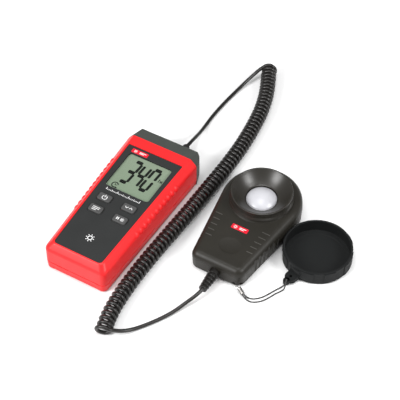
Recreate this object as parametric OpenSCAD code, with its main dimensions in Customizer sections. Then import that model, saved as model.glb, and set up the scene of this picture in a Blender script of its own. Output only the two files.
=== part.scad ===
// Split light meter: a hand-held readout, a sensor head on a curly cord and a tethered dust cap.
// The readout lies on its back: origin at the middle of its back face, +Y to the cord end, +Z up.

/* [Readout] */
// Length of the readout housing
meter_len = 128; // [124:1:134]
// Width of the housing at its lower end
width_low = 49; // [48:0.5:52]
// Width of the housing where the end cap begins
width_high = 57.4; // [57:0.2:58.4]
// Thickness of the readout
meter_h = 25; // [25:0.5:27]
// Height of the line where the front and rear shells meet
split_z = 10; // [9:0.5:11]
// Radius of the lower corners in plan
corner_r = 4; // [3:0.5:5]

/* [Display and keys] */
// Width of the display window
window_w = 35.4; // [33:0.2:36]
// Height of the display window
window_l = 34; // [32:0.2:35]
// Width of each key
key_w = 10.2; // [9:0.1:11]
// Length of each key
key_l = 6.2; // [5:0.1:7]
// How far a key goes down
key_travel = 0.8; // [0.4:0.1:1]

/* [Sensor head] */
// Radius of the round end of the head
head_r = 29.3; // [28.5:0.1:29.5]
// Distance from the dome's axis to the cord end of the head
head_reach = 66; // [64:1:70]
// Turn of the head beside the readout
head_turn = -0.3; // [-0.5:0.1:0.5]
// Radius of the collar's straight land
ring_r = 22.1; // [21.5:0.1:22.3]
// Height of the collar's rim
ring_top = 26; // [25.5:0.5:27]
// Radius of the white dome
dome_r = 10.9; // [10:0.1:11.2]

/* [Dust cap] */
// Outer radius of the cap's skirt between the grips
cap_r = 24.3; // [24:0.1:24.4]
// Inner radius of the cap
cap_inner_r = 22.8; // [22.6:0.1:23]
// Depth of the cap outside
cap_h = 11.4; // [9:0.2:12]

/* [Cords] */
// Diameter of the cord
cord_d = 2.8; // [2.4:0.1:2.8]
// Outer diameter of the curly stretch
coil_d = 12; // [11:0.5:12]
// Diameter of the lanyard string
string_d = 1; // [0.8:0.1:1]

/* [Hidden] */
eps = 0.01;

// readout
y_low = -meter_len / 2;
y_high = meter_len / 2;
wall = 2;
cap_len = 10.8;                       // length of the grey end cap along Y
y_cap = y_high - cap_len;
side_slope = (width_high - width_low) / 2 / (y_cap - y_low);
bevel_z = meter_h - 4.8;              // where the top bevel starts
bevel_in = 4.4;                       // how far the bevel comes in
floor_t = 2.6;
back_bevel = 2;                       // height of the chamfer along the back edge
back_in = 1.1;                        // how far that chamfer comes in
panel_top = meter_h - 0.4;
panel_t = 1.5;
panel_y0 = y_low + 5;
panel_y1 = y_cap - 8.8;
post_z = floor_t + 5.1;                // where the front shell's screw posts end
web_z = panel_top - panel_t - 1.2;    // underside of the web that the panel lies on
window_c = [0.3, 20.2];
key_x = 9.9;
key_rows = [-8.2, -19.8];
key_top = meter_h + 0.9;
key_gap = 0.25;
flange_t = 1;
lcd_w = 37.6;
lcd_l = 36.4;
lcd_t = 1.8;
lcd_top = panel_top - panel_t;
board_z = 15.2;
board_t = 1.6;
board_w = 40;
board_y0 = y_low + 8;
board_y1 = y_cap - 4;

// battery bay
door_w = 35;
door_t = 1.7;
door_y1 = -13;
door_len = door_y1 - y_low - back_in;
tongue = 1.2;
slide_gap = 0.15;
cell_d = 10.4;
cell_l = 44.5;
cell_z = floor_t + 0.4 + cell_d / 2;
spring_l = 4.7;
cell_y0 = -56;
bay_w = 33.6;
bay_y0 = -60.8;
bay_y1 = -10.8;
bay_top = board_z - 1;                // the board rests on the bay's roof
bay_wall = 1;

// cord exit on the end cap
exit_x = 9;
exit_z = 12;
neck_r = 3;
grommet_len = 9;

// sensor head
head_at = [82.5, 52];
head_corner_r = 6;
head_corner_x = 14.8;
head_edge_z = 12;
head_wall = 2;
head_top_in = 3.2;
head_low_z = 16;
head_high_z = 20;
floor_in = 3.4;
head_post_z = 9;                      // where the two halves' screw posts meet
relief_len = 17;
relief_z = 6.4;
relief_r = 4.1;
tip_r = 3;
recess_z = 17.8;
dome_h = 4.4;

// lanyard and cap
loop_at = [16.6, -65.4];               // centre of the lanyard's ring, in the head's frame
tether_z = 3.2;
tether_hole_r = 1.1;
ring_wire = 0.7;
loop_r = 2.2;
seat_r = 22.9;                        // foot of the collar
seat_z = 19.4;
crimp_start = [101.6, -15.2, 3.2];
crimp_end = [106.4, -17.9, 1.6];
crimp_r = 1.5;
cap_at = [134.9, 37.6];
cap_floor = 1.8;
lug_turn = -103.5;
grip_t = 0.4;
lug_z = 1.6;
lug_h = 3.2;
lug_hole_r = 1.1;
lug_holes = [28.2, 32.8];             // distances of the two holes from the cap's axis

// Routes, chosen by hand
tail_meter_route = [[9, 73, 12], [9, 79, 11.2], [8.2, 87, 8.4], [7, 96, 4.8], [5.8, 106, 2.2],
    [5.2, 116, 1.4], [5.6, 128, 1.4], [6.6, 140, 1.4], [8, 150, 1.8], [10, 160, 3.2],
    [12.6, 168, 5.6], [15.6, 174.6, 8.4], [19, 178.6, 10.2]];
coil_route = [[20.6, 181.4, 6], [22.6, 175.4, 6], [26, 168, 6], [30.2, 158, 6], [33.6, 148, 6],
    [36.4, 137, 6], [38.4, 125, 6], [40.2, 109, 6], [41.2, 92, 6], [41.2, 74, 6], [40.6, 57, 6],
    [40, 40, 6], [39.2, 22, 6], [38.2, 4, 6], [37, -16, 6], [36.2, -35, 6], [36.2, -52, 6],
    [37, -69, 6], [39.4, -84, 6], [42.9, -94.8, 6]];
tail_head_route = [[49.6, -89.4, 6.4], [52.4, -86, 4], [55.8, -81.4, 2.2], [59.6, -76.2, 1.5],
    [64.4, -69.2, 1.4], [69, -61.4, 1.4], [73, -53.6, 1.8], [76.6, -45.4, 3.2],
    [80.2, -37.6, 5.2], [82.2, -31, 6.4]];
string_route = [[106.4, -17.4, 1.8], [109.4, -18, 0.8], [112.6, -17.6, 0.6], [115.2, -16.2, 0.6],
    [117.8, -13.6, 0.6], [119.8, -10.6, 0.6], [121.6, -7, 0.6], [123.4, -3.2, 0.6],
    [125.4, 0.6, 0.6], [126.8, 3.8, 0.7], [127.2, 5.6, 1.8], [127.3, 5.9, 4.2], [127.6, 4.8, 5.8],
    [128.1, 2.9, 5.6], [128.5, 1.6, 3.6], [128.3, 0.2, 1.4], [127, -2.2, 0.6], [125, -5.6, 0.6],
    [123.2, -9.6, 0.6], [121.2, -13.6, 0.6], [118.8, -16.8, 0.6], [116, -19, 0.6],
    [113, -20.2, 0.6], [109.8, -19.8, 0.7], [106.4, -18.5, 1.4]];

// Points on an arc about c, from angle a0 to a1
function arc_pts(c, r, a0, a1, n) =
    [for (i = [0:n]) c + r * [cos(a0 + (a1 - a0) * i / n), sin(a0 + (a1 - a0) * i / n)]];

// Half the housing's width at a place along Y
function half_w(y) = width_low / 2 + (y - y_low) * side_slope;

// Tapered outline with round lower corners, drawn in by inset on its sides and lower end
function shell_pts(inset, y1) =
    let (r = max(corner_r - inset / 2, 1), y = y_low + inset, x = half_w(y) - inset - r)
    concat(arc_pts([x, y + r], r, -90, 0, 5), [[half_w(y1) - inset, y1], [-half_w(y1) + inset, y1]],
        arc_pts([-x, y + r], r, 180, 270, 5));

// Outline of the end cap, whose sides turn in
function end_pts(inset) =
    let (x0 = width_high / 2 - inset, x1 = width_high / 2 - 3.4 - inset, r = 2.2)
    concat([[x0, y_cap]], arc_pts([x1 - r, y_high - inset - r], r, 20, 90, 4),
        arc_pts([-x1 + r, y_high - inset - r], r, 90, 160, 4), [[-x0, y_cap]]);

// Outline of the head: one large circle joined by tangents to two corner circles
function head_pts(inset) =
    let (p = [head_corner_x, -head_reach + head_corner_r], d = norm(p),
        normal = atan2(p.y, p.x) + acos((head_r - head_corner_r) / d))
    concat(arc_pts([0, 0], head_r - inset, normal, 180 - normal, 40),
        arc_pts([-p.x, p.y], head_corner_r - inset, 180 - normal, 270, 6),
        arc_pts(p, head_corner_r - inset, 270, 360 + normal, 6));

// Tangent of a route at point i
function along(route, i) =
    let (d = route[min(i + 1, len(route) - 1)] - route[max(i - 1, 0)]) d / norm(d);

// Ring of n points round point i of a route
function ring_pts(route, i, r, n) =
    let (t = along(route, i), side = cross(t, [0, 0, 1]), u = side / norm(side), v = cross(u, t))
    [for (k = [0:n - 1]) route[i] + r * (u * cos(360 * k / n) + v * sin(360 * k / n))];

module slab(pts, z, t = eps) {
    translate([0, 0, z]) linear_extrude(t) polygon(pts);
}

// Tube of n sides swept along a route, with flat ends
module swept(route, r, n) {
    m = len(route);
    points = [for (i = [0:m - 1]) each ring_pts(route, i, r, n)];
    sides = [for (i = [0:m - 2], k = [0:n - 1])
        [i * n + k, i * n + (k + 1) % n, (i + 1) * n + (k + 1) % n, (i + 1) * n + k]];
    first = [for (k = [0:n - 1]) n - 1 - k];
    last = [for (k = [0:n - 1]) (m - 1) * n + k];
    polyhedron(points, concat([first], sides, [last]));
}

module rounded_plate(w, l, r, t) {
    linear_extrude(t) polygon(concat(arc_pts([w / 2 - r, l / 2 - r], r, 0, 90, 5),
        arc_pts([r - w / 2, l / 2 - r], r, 90, 180, 5),
        arc_pts([r - w / 2, r - l / 2], r, 180, 270, 5),
        arc_pts([w / 2 - r, r - l / 2], r, 270, 360, 5)));
}

module in_head() {
    translate([head_at.x, head_at.y, 0]) rotate([0, 0, head_turn]) children();
}

// Where the housing and board screws stand
module housing_screw_places() {
    for (x = [-19.4, 19.4], y = [-4.4, 46]) translate([x, y, 0]) children();
}

module board_screw_places() {
    for (x = [-16, 16]) translate([x, 42, 0]) children();
}

module head_screw_places() {
    for (p = [[-13, -55], [13, -55], [-19.5, 13], [19.5, 13]]) translate([p.x, p.y, 0]) children();
}

module front_shell() {
    color("#e83038") difference() {
        hull() {
            slab(shell_pts(0, y_cap), split_z);
            slab(shell_pts(0.3, y_cap), bevel_z);
            slab(shell_pts(bevel_in, y_cap), meter_h - eps);
        }
        hull() {
            slab(shell_pts(wall, y_cap + eps), split_z - eps);
            slab(shell_pts(wall + 0.3, y_cap + eps), bevel_z - 1);
            slab(shell_pts(bevel_in + 1.2, y_cap + eps), web_z);
        }
        slab(panel_outline(0), panel_top - panel_t, 5);
        translate([window_c.x, window_c.y, web_z - 1]) rounded_plate(lcd_w + 0.3, lcd_l + 0.3, 1, 4);
        key_places() translate([0, 0, web_z - 1]) rounded_plate(key_w + 0.5, key_l + 0.5, 1.4, 4);
    }
    color("#e83038") housing_screw_places() translate([0, 0, post_z]) difference() {
        cylinder(r = 2.6, h = web_z + 0.4 - post_z, $fn = 32);
        translate([0, 0, -1]) cylinder(r = 1.12, h = 6, $fn = 32);
    }
    color("#e83038") board_screw_places() translate([0, 0, board_z + board_t]) difference() {
        cylinder(r = 2.3, h = web_z + 0.4 - board_z - board_t, $fn = 32);
        translate([0, 0, -1]) cylinder(r = 1.02, h = 5, $fn = 32);
    }
}

// Outline of the front panel, wider at the cord end
function panel_outline(inset) =
    let (x0 = half_w(panel_y0) - 5.4 - inset, x1 = half_w(panel_y1) - 5.9 - inset,
        y0 = panel_y0 + inset, y1 = panel_y1 - inset)
    concat(arc_pts([x0 - 2.6, y0 + 2.6], 2.6, -90, 0, 5), arc_pts([x1 - 0.8, y1 - 0.8], 0.8, 0, 90, 3),
        arc_pts([0.8 - x1, y1 - 0.8], 0.8, 90, 180, 3), arc_pts([2.6 - x0, y0 + 2.6], 2.6, 180, 270, 5));

module key_places() {
    for (x = [-key_x, key_x], y = key_rows) translate([x, y, 0]) children();
}

module rear_shell() {
    color("#dd2a32") {
        difference() {
            union() {
                difference() {
                    hull() {
                        slab(shell_pts(back_in, y_cap), 0);
                        slab(shell_pts(0.2, y_cap), back_bevel);
                        slab(shell_pts(0, y_cap), split_z - eps);
                    }
                    hull() {
                        slab(shell_pts(wall + 0.4, y_cap + eps), floor_t);
                        slab(shell_pts(wall, y_cap + eps), split_z);
                    }
                }
                battery_box();
                housing_screw_places() translate([0, 0, floor_t - eps]) cylinder(r = 3, h = 5, $fn = 32);
            }
            door_slot();
            housing_screw_places() {
                translate([0, 0, -1]) cylinder(r = 1.25, h = 12, $fn = 32);
                translate([0, 0, -1]) cylinder(r = 2.3, h = 2.8, $fn = 32);
            }
        }
    }
}

// Walls and roof that close the battery bay off from the board
module battery_box() {
    translate([0, (bay_y0 + bay_y1) / 2, floor_t - eps]) difference() {
        translate([-bay_w / 2 - bay_wall, -(bay_y1 - bay_y0) / 2 - bay_wall, 0])
            cube([bay_w + 2 * bay_wall, bay_y1 - bay_y0 + 2 * bay_wall, bay_top + bay_wall - floor_t]);
        translate([-bay_w / 2, -(bay_y1 - bay_y0) / 2, -1])
            cube([bay_w, bay_y1 - bay_y0, bay_top - floor_t + 1]);
    }
}

// Slot that the battery door slides in, open at the lower end
module door_slot() {
    gap = slide_gap;
    low = y_low - 1;
    translate([-door_w / 2 - gap, low, -1]) cube([door_w + 2 * gap, door_y1 - low + gap, door_t]);
    translate([-door_w / 2 - tongue - gap, low, door_t - 1])
        cube([door_w + 2 * (tongue + gap), door_y1 - low + gap, 1 + gap]);
    translate([-bay_w / 2, bay_y0, 0]) cube([bay_w, door_y1 - 2 - bay_y0, floor_t + 1]);
}

module battery_door() {
    color("#dd2a32") difference() {
        union() {
            translate([-door_w / 2, y_low + back_in, 0]) cube([door_w, door_len, door_t]);
            translate([-door_w / 2 - tongue, y_low + back_in, door_t - 0.8])
                cube([door_w + 2 * tongue, door_len, 0.8]);
        }
        for (k = [0:4]) translate([-7, -24 - 1.6 * k, -eps]) cube([14, 0.8, 0.5]);
    }
}

module end_cap() {
    color("#50534f") difference() {
        hull() {
            slab(end_pts(back_in), 0);
            slab(end_pts(0), back_bevel);
            slab(end_pts(0), bevel_z - 0.6);
            slab([[-width_high / 2 + bevel_in, y_cap], [width_high / 2 - bevel_in, y_cap],
                [width_high / 2 - bevel_in, y_cap + 0.6], [-width_high / 2 + bevel_in, y_cap + 0.6]],
                meter_h - eps);
            slab([[-21.6, y_high - 2], [21.6, y_high - 2], [21.6, y_high - 0.8], [-21.6, y_high - 0.8]],
                meter_h - 2.9);
        }
        hull() {
            slab([for (p = end_pts(2.2)) [p.x, p.y - eps]], 2.2);
            slab([for (p = end_pts(2.2)) [p.x, p.y - eps]], bevel_z - 2.2);
        }
        translate([exit_x, y_high + 1, exit_z]) rotate([90, 0, 0]) cylinder(r = neck_r, h = 5, $fn = 48);
    }
}

module front_panel() {
    color("#3c3d3d") difference() {
        slab(panel_outline(0.1), panel_top - panel_t, panel_t);
        translate([window_c.x, window_c.y, panel_top - 2]) rounded_plate(window_w, window_l, 1.6, 3);
        key_places() translate([0, 0, panel_top - 2])
            rounded_plate(key_w + 2 * key_gap, key_l + 2 * key_gap, 1.4, 3);
    }
}

module display_window() {
    color("#c8d4cc", 0.4) translate([window_c.x, window_c.y, lcd_top])
        rounded_plate(window_w - 0.2, window_l - 0.2, 1.5, panel_t - 0.1);
}

module lcd_glass() {
    color("#93a68c") translate([window_c.x, window_c.y, lcd_top - lcd_t])
        rounded_plate(lcd_w, lcd_l, 0.8, lcd_t);
}

module lcd_backlight() {
    z0 = board_z + board_t;
    color("#f2f2ee") translate([window_c.x - lcd_w / 2 + 1, window_c.y - 15, z0])
        cube([lcd_w - 2, 30, lcd_top - lcd_t - z0]);
}

module zebra_strips() {
    z0 = board_z + board_t;
    color("#d0a0a0") for (s = [-1, 1]) translate([window_c.x - 16, window_c.y + s * 16.8 - 1, z0])
        cube([32, 2, lcd_top - lcd_t - z0]);
}

module main_board() {
    color("#1f5a36") difference() {
        translate([-board_w / 2, board_y0, board_z]) cube([board_w, board_y1 - board_y0, board_t]);
        board_screw_places() translate([0, 0, board_z - 1]) cylinder(r = 1.2, h = 4, $fn = 32);
        housing_screw_places() translate([0, 0, board_z - 1]) cylinder(r = 3, h = 4, $fn = 32);
    }
}

module board_chips() {
    color("#202020") {
        translate([-6, 14, board_z - 1.6]) cube([12, 12, 1.6]);
        translate([8, 30, board_z - 1.4]) cube([5, 4, 1.4]);
        translate([-15, 6, board_z - 1.4]) cube([6, 4, 1.4]);
    }
}

module piezo_buzzer() {
    color("#101010") translate([-10, 36, board_z - 5]) cylinder(r = 6, h = 5, $fn = 48);
}

module keypad_mat() {
    color("#8a8a86") translate([-15.5, min(key_rows) - 8, board_z + board_t]) cube([31, 27, 0.8]);
}

module key_at(x, y) {
    z0 = board_z + board_t + 0.8 + key_travel + 0.2;
    color("#5c5c5c") translate([x, y, 0]) {
        translate([0, 0, z0]) rounded_plate(key_w, key_l, 1.3, key_top - z0);
        translate([0, 0, web_z - flange_t - 0.1]) rounded_plate(key_w + 2, key_l + 2, 1.6, flange_t);
    }
}

module key_power() { key_at(-key_x, key_rows[0]); }
module key_mode() { key_at(-key_x, key_rows[1]); }
module key_range() { key_at(key_x, key_rows[0]); }
module key_hold() { key_at(key_x, key_rows[1]); }

module cell_places() {
    for (x = [-1, 0, 1]) translate([x * (cell_d + 0.5), cell_y0, cell_z]) rotate([-90, 0, 0]) children();
}

module battery_cells() {
    color("#c8c8c0") cell_places() {
        cylinder(r = cell_d / 2, h = cell_l - 1, $fn = 48);
        translate([0, 0, cell_l - 1 - eps]) cylinder(r = 1.9, h = 1, $fn = 32);
    }
}

module contact_springs() {
    color("#d8d8d0") cell_places() translate([0, 0, -spring_l - 0.05])
        cylinder(r1 = 3.6, r2 = 2.2, h = spring_l, $fn = 32);
}

module contact_plates() {
    color("#d8d8d0") cell_places() translate([-4, -4, cell_l + 0.05]) cube([8, 8, 0.6]);
}

module screw(shaft_r, shaft_l, head_r1, head_h) {
    difference() {
        union() {
            cylinder(r = head_r1, h = head_h, $fn = 32);
            cylinder(r = shaft_r, h = shaft_l, $fn = 32);
        }
        for (a = [0, 90]) rotate([0, 0, a]) translate([-head_r1 * 0.6, -0.25, -eps])
            cube([head_r1 * 1.2, 0.5, head_h * 0.6]);
    }
}

module housing_screws() {
    color("#9a9a98") housing_screw_places() translate([0, 0, 0.3]) screw(1.1, 11, 2.1, 1.4);
}

module board_screws() {
    color("#9a9a98") board_screw_places() translate([0, 0, board_z - 1.2]) screw(1, 6, 1.9, 1.2);
}

// Turned about the exit's own line, pointing away from the housing
module exit_axis() {
    translate([exit_x, y_high, exit_z]) rotate([-90, 0, 0]) children();
}

module cord_grommet() {
    color("#1c1b18") exit_axis() rotate_extrude($fn = 48) polygon([[0, -4.4], [4.2, -4.4], [4.2, -2.3],
        [neck_r - 0.1, -2.3], [neck_r - 0.1, 0.1], [3.9, 0.1], [3.9, 2.2], [3.3, 3], [3.3, 6],
        [2.6, grommet_len - 0.6], [2.4, grommet_len], [0, grommet_len]]);
}

module lead_connector() {
    color("#efe8d8") translate([exit_x - 4, board_y1 - 7, board_z - 6]) cube([8, 6, 6]);
}

module inner_lead() {
    y0 = board_y1 - 1;
    color("#1c1b18") translate([exit_x, y0, exit_z]) rotate([-90, 0, 0])
        cylinder(r = cord_d / 2, h = y_high - 4.4 - y0, $fn = 32);
}

module cord_tail_meter() {
    color("#1c1b18") swept(tail_meter_route, cord_d / 2, 8);
}

module cord_coil() {
    color("#1c1b18") swept(coil_route, coil_d / 2, 12);
}

module cord_tail_head() {
    color("#1c1b18") swept(tail_head_route, cord_d / 2, 8);
}

// Points outward from the cord end of the head
module relief_axis() {
    in_head() translate([0, -head_reach, relief_z]) rotate([90, 0, 0]) children();
}

module strain_relief() {
    ribs = 5;
    color("#1c1b18") relief_axis() rotate_extrude($fn = 40) polygon(concat(
        [[0, -1.2], [relief_r - 0.8, -1.2], [relief_r - 0.8, 0], [relief_r, 0], [relief_r, 3.4]],
        [for (k = [0:ribs - 1]) let (r = relief_r - (relief_r - tip_r) * (k + 1) / ribs, z = 3.6 + 2.6 * k)
            each [[r - 0.5, z], [r - 0.5, z + 1], [r, z + 1.2], [r, z + 2.4]]],
        [[tip_r, relief_len], [0, relief_len]]));
}

// Slab that the head's sloping top is hulled to
module head_roof(inset, down) {
    slope = atan((head_high_z - head_low_z) / (head_reach + head_r));
    translate([0, -head_reach, head_low_z - down]) rotate([slope, 0, 0]) translate([0, head_reach, 0])
        linear_extrude(eps) polygon(head_pts(inset));
}

module head_top_shell() {
    color("#3a3935") in_head() difference() {
        hull() {
            slab(head_pts(0), head_edge_z - 1.5);
            slab(head_pts(0.4), head_edge_z + 1.2);
            head_roof(head_top_in, 0);
        }
        hull() {
            slab(head_pts(head_wall), head_edge_z - 1.6);
            head_roof(head_top_in + 1.4, head_wall);
        }
        translate([0, 0, 10]) cylinder(r = 20, h = 20, $fn = 64);
        translate([0, 0, seat_z]) cylinder(r = seat_r + 0.1, h = 5, $fn = 96);
    }
    color("#3a3935") in_head() translate([0, 0, seat_z - 2.4]) difference() {
        cylinder(r = seat_r, h = 2.4, $fn = 96);
        translate([0, 0, -1]) cylinder(r = 20, h = 5, $fn = 96);
    }
    color("#3a3935") in_head() head_screw_places() translate([0, 0, head_post_z + 0.1]) difference() {
        cylinder(r = 2.6, h = 5.8, $fn = 32);
        translate([0, 0, -1]) cylinder(r = 1.07, h = 5, $fn = 32);
    }
}

module head_bottom_shell() {
    color("#35342f") in_head() difference() {
        union() {
            difference() {
                hull() {
                    slab(head_pts(floor_in), 0);
                    slab(head_pts(1), floor_in);
                    slab(head_pts(0), head_edge_z - 1.5 - eps);
                }
                slab(head_pts(floor_in + 1), 2, 20);
                slab(head_pts(head_wall + 0.2), 5, 20);
            }
            head_screw_places() translate([0, 0, 2 - eps]) cylinder(r = 2.8, h = head_post_z - 2, $fn = 32);
        }
        head_screw_places() {
            translate([0, 0, -1]) cylinder(r = 1.2, h = 12, $fn = 32);
            translate([0, 0, -1]) cylinder(r = 2.2, h = 2.6, $fn = 32);
        }
        translate([0, -head_reach + 5, relief_z]) rotate([90, 0, 0])
            cylinder(r = relief_r - 0.7, h = 9, $fn = 40);
        tether_holes();
    }
}

// Two small holes that meet inside the corner, one from the end face and one from the side
module tether_holes() {
    translate([loop_at.x - loop_r + 0.2, loop_at.y + loop_r - 0.2, tether_z]) {
        rotate([90, 0, 0]) cylinder(r = tether_hole_r, h = 8, $fn = 24);
        rotate([0, 90, 0]) cylinder(r = tether_hole_r, h = 9, $fn = 24);
        sphere(r = tether_hole_r, $fn = 24);
    }
}

module sensor_ring() {
    color("#34332f") in_head() rotate_extrude($fn = 96) polygon([[9.2, 14.4], [19.8, 14.4],
        [19.8, seat_z], [seat_r, seat_z], [seat_r, seat_z + 0.6], [ring_r, 22],
        [ring_r, ring_top - 0.4], [ring_r - 0.4, ring_top], [ring_r - 0.9, ring_top],
        [ring_r - 1.3, ring_top - 0.5], [dome_r + 1.6, recess_z + 0.6], [dome_r + 0.6, recess_z],
        [dome_r + 0.6, 15.7], [9.2, 15.7]]);
}

module diffuser_dome() {
    sag = dome_h;
    r = (dome_r * dome_r + sag * sag) / (2 * sag);
    half = asin(dome_r / r);
    color("#ecebef") in_head() translate([0, 0, recess_z - 0.2]) rotate_extrude($fn = 72) polygon(concat(
        [[0, -1.8], [dome_r + 0.3, -1.8], [dome_r + 0.3, -0.6], [dome_r, -0.6]],
        [for (k = [0:12]) let (a = half * (1 - k / 12)) [r * sin(a), r * cos(a) - r + sag]]));
}

module correction_filter() {
    color("#6fae9a") in_head() translate([0, 0, 14.5]) cylinder(r = 9.1, h = 1.1, $fn = 48);
}

module photodiode() {
    color("#c9b878") in_head() translate([0, 0, 9.4]) {
        cylinder(r = 4.6, h = 1, $fn = 48);
        translate([0, 0, 1 - eps]) cylinder(r = 4, h = 2.6, $fn = 48);
    }
}

module sensor_board() {
    color("#1f5a36") in_head() difference() {
        translate([-15, -15, 7.8]) cube([30, 30, 1.6]);
        for (x = [-12, 12]) translate([x, -12, 7]) cylinder(r = 1.1, h = 4, $fn = 32);
    }
}

module sensor_board_screws() {
    color("#9a9a98") in_head() for (x = [-12, 12]) translate([x, -12, 9.4 + 1.2]) mirror([0, 0, 1])
        screw(1, 6, 1.8, 1.2);
}

module sensor_lead() {
    color("#1c1b18") in_head() translate([0, -15.2, relief_z]) rotate([90, 0, 0])
        cylinder(r = cord_d / 2, h = head_reach - 15.2 - 1.2, $fn = 32);
}

module head_screws() {
    color("#9a9a98") in_head() head_screw_places() translate([0, 0, 0.3]) screw(1.05, 12, 2, 1.2);
}

// Small split ring through the two corner holes
module lanyard_ring() {
    color("#c4c4c4") in_head() translate([loop_at.x, loop_at.y, tether_z])
        rotate_extrude($fn = 40) translate([loop_r, 0]) circle(r = ring_wire / 2, $fn = 16);
}

module crimp_tube() {
    d = crimp_end - crimp_start;
    color("#c4c4c4") translate(crimp_start) rotate([0, acos(d.z / norm(d)), atan2(d.y, d.x)])
        cylinder(r = crimp_r, h = norm(d), $fn = 32);
}

module lanyard_string() {
    color("#26241f") swept(string_route, string_d / 2, 8);
}

module grip(start, sweep) {
    rotate([0, 0, start]) rotate_extrude(angle = sweep, $fn = 72) translate([cap_r - 1, 1])
        square([1 + grip_t, cap_h - 1.8]);
}

// Grip segments stand out of the skirt by turns wide and narrow
module grips() {
    for (k = [0:3]) rotate([0, 0, 90 * k]) {
        grip(-16, 35);
        grip(37, 20);
    }
}

module dust_cap() {
    color("#1e201f") translate([cap_at.x, cap_at.y, 0]) difference() {
        union() {
            cylinder(r1 = cap_r - 0.8, r2 = cap_r, h = 0.8, $fn = 96);
            translate([0, 0, 0.8 - eps]) cylinder(r = cap_r, h = cap_h - 0.8 + eps, $fn = 96);
            grips();
            rotate([0, 0, lug_turn]) lug();
        }
        translate([0, 0, cap_floor]) cylinder(r = cap_inner_r, h = cap_h, $fn = 96);
        for (d = lug_holes) rotate([0, 0, lug_turn]) translate([d, 0, -1])
            cylinder(r = lug_hole_r, h = 8, $fn = 32);
    }
}

module lug() {
    translate([cap_inner_r + 0.5, -4.2, lug_z]) cube([lug_holes[0] - cap_inner_r - 0.5, 8.4, lug_h]);
    translate([lug_holes[0], 0, lug_z]) cylinder(r = 4.2, h = lug_h, $fn = 40);
    translate([lug_holes[1], 0, lug_z]) cylinder(r = 2.3, h = lug_h, $fn = 40);
}

front_shell();
rear_shell();
end_cap();
front_panel();
display_window();
lcd_glass();
lcd_backlight();
zebra_strips();
main_board();
board_chips();
piezo_buzzer();
keypad_mat();
key_power();
key_mode();
key_range();
key_hold();
battery_door();
battery_cells();
contact_springs();
contact_plates();
housing_screws();
board_screws();
cord_grommet();
lead_connector();
inner_lead();
cord_tail_meter();
cord_coil();
cord_tail_head();
strain_relief();
head_top_shell();
head_bottom_shell();
sensor_ring();
diffuser_dome();
correction_filter();
photodiode();
sensor_board();
sensor_board_screws();
sensor_lead();
head_screws();
lanyard_ring();
crimp_tube();
lanyard_string();
dust_cap();
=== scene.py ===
from math import atan2, cos, degrees, pi, radians, sin, sqrt, tan

import bmesh
import bpy
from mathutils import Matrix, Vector


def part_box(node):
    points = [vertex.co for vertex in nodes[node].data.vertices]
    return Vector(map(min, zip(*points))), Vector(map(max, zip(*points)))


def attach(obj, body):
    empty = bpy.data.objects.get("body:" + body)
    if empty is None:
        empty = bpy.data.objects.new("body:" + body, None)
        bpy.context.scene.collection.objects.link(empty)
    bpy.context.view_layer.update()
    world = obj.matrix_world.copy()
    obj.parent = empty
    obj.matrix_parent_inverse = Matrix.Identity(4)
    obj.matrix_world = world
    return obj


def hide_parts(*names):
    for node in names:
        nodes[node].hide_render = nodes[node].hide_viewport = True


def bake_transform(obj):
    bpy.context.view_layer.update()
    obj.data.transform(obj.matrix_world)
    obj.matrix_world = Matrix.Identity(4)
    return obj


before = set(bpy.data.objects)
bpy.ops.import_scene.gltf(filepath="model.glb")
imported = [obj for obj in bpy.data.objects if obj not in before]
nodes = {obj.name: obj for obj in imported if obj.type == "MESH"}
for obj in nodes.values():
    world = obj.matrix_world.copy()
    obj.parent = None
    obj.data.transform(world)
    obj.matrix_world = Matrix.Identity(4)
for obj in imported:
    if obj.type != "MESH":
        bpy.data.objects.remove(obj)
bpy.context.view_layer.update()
mm = 0.001
up = Vector((0, 0, 1))
print("frame loaded:", len(nodes), "nodes")


def spot(x, y, z):
    return Vector((x, y, z)) * mm


def nodeBox(node):                     # a node's corners in millimetres
    return [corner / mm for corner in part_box(node)]


# camera
view = {"turn": 30, "height": 49.6, "distance": 1011, "lens": 126, "target": (38.1, 41.8, 0)}


def addCamera():
    turn, height = radians(view["turn"]), radians(view["height"])
    back = Vector((sin(turn) * cos(height), -cos(turn) * cos(height), sin(height)))
    bpy.ops.object.camera_add(location=spot(*view["target"]) + back * view["distance"] * mm)
    camera = bpy.context.object
    camera.name = "camera"
    camera.rotation_euler = (-back).to_track_quat("-Z", "Y").to_euler()
    camera.data.lens = view["lens"]
    camera.data.sensor_width = 36
    camera.data.clip_start = 0.01
    bpy.context.scene.camera = camera


addCamera()


# finishes
class Wire:                            # a socket that takes +, *, > and <
    def __init__(self, finish, socket):
        self.finish = finish
        self.socket = socket

    def maths(self, operation, first, second):
        return self.finish.node("ShaderNodeMath", {"operation": operation}, {0: first, 1: second})

    def __add__(self, other):
        return self.maths("ADD", self, other)

    def __mul__(self, other):
        return self.maths("MULTIPLY", self, other)

    def __gt__(self, other):
        return self.maths("GREATER_THAN", self, other)

    def __lt__(self, other):
        return self.maths("LESS_THAN", self, other)

    __radd__ = __add__
    __rmul__ = __mul__


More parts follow.
